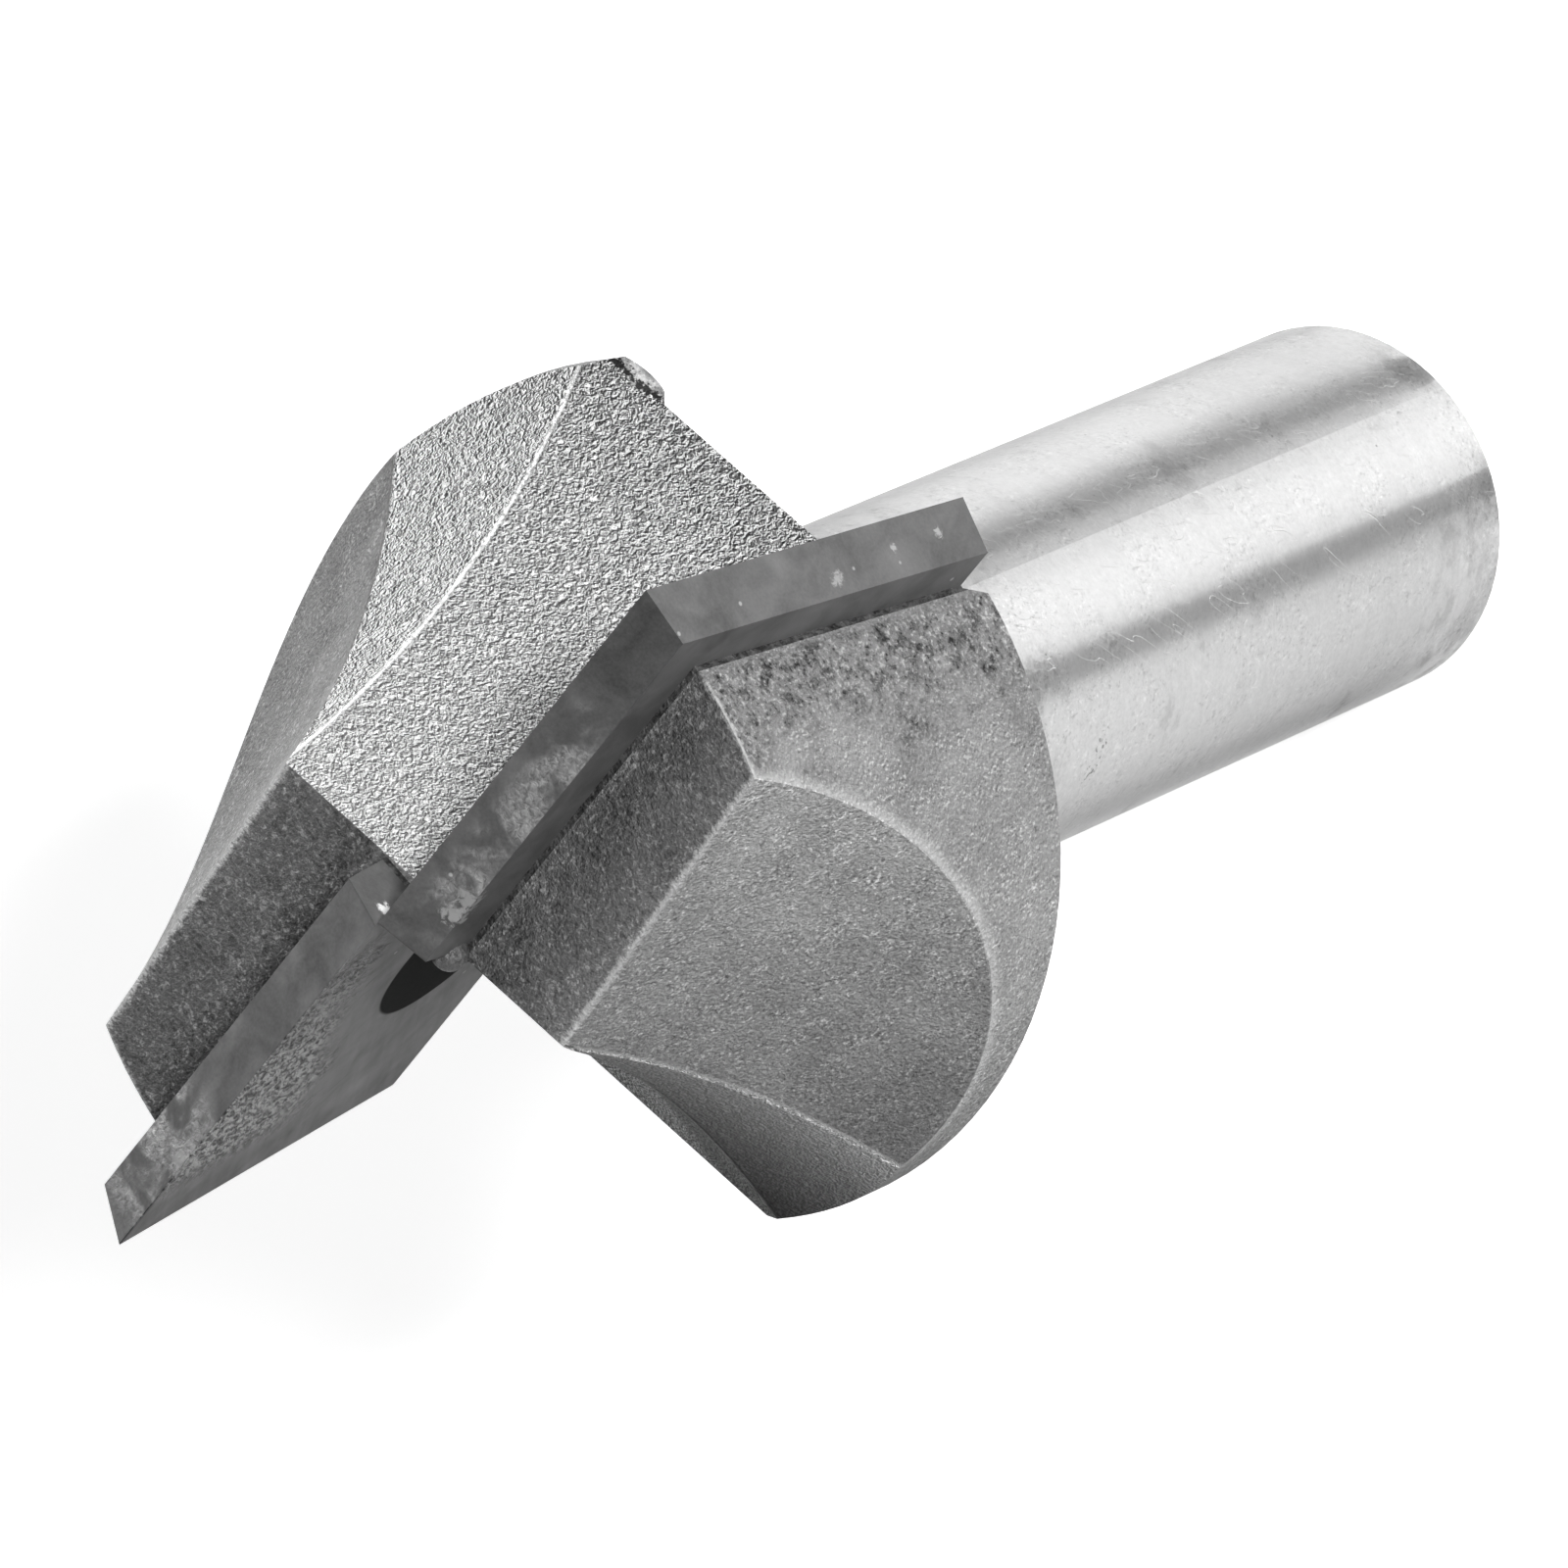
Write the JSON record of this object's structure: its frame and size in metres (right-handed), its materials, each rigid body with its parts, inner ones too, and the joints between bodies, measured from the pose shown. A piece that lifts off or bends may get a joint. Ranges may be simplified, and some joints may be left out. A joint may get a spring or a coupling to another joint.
{
  "type": "endmill",
  "caption": "Straight-shank flat-bottom end mill: a steel head with hollow-ground flutes and brazed carbide blades that stand proud of it.",
  "frame": {"origin": "centre of the end face of the shank, on which the tool stands", "axes": "+Z along the tool's axis towards the cutting end, X along the two cutting edges, with the first blade at +X facing +Y"},
  "size_m": [0.0318, 0.0278, 0.056],
  "materials": {
    "tool_steel": "ground on the shank, coarse blasted in the flutes, speckled grey on the heels",
    "carbide": "ground, satin dark grey",
    "braze": "dull, as melted"
  },
  "bodies": {
    "root": {"tool_body": "tool_steel", "blade_1": "carbide", "blade_2": "carbide", "braze_1": "braze", "braze_2": "braze"}
  },
  "joints": []
}
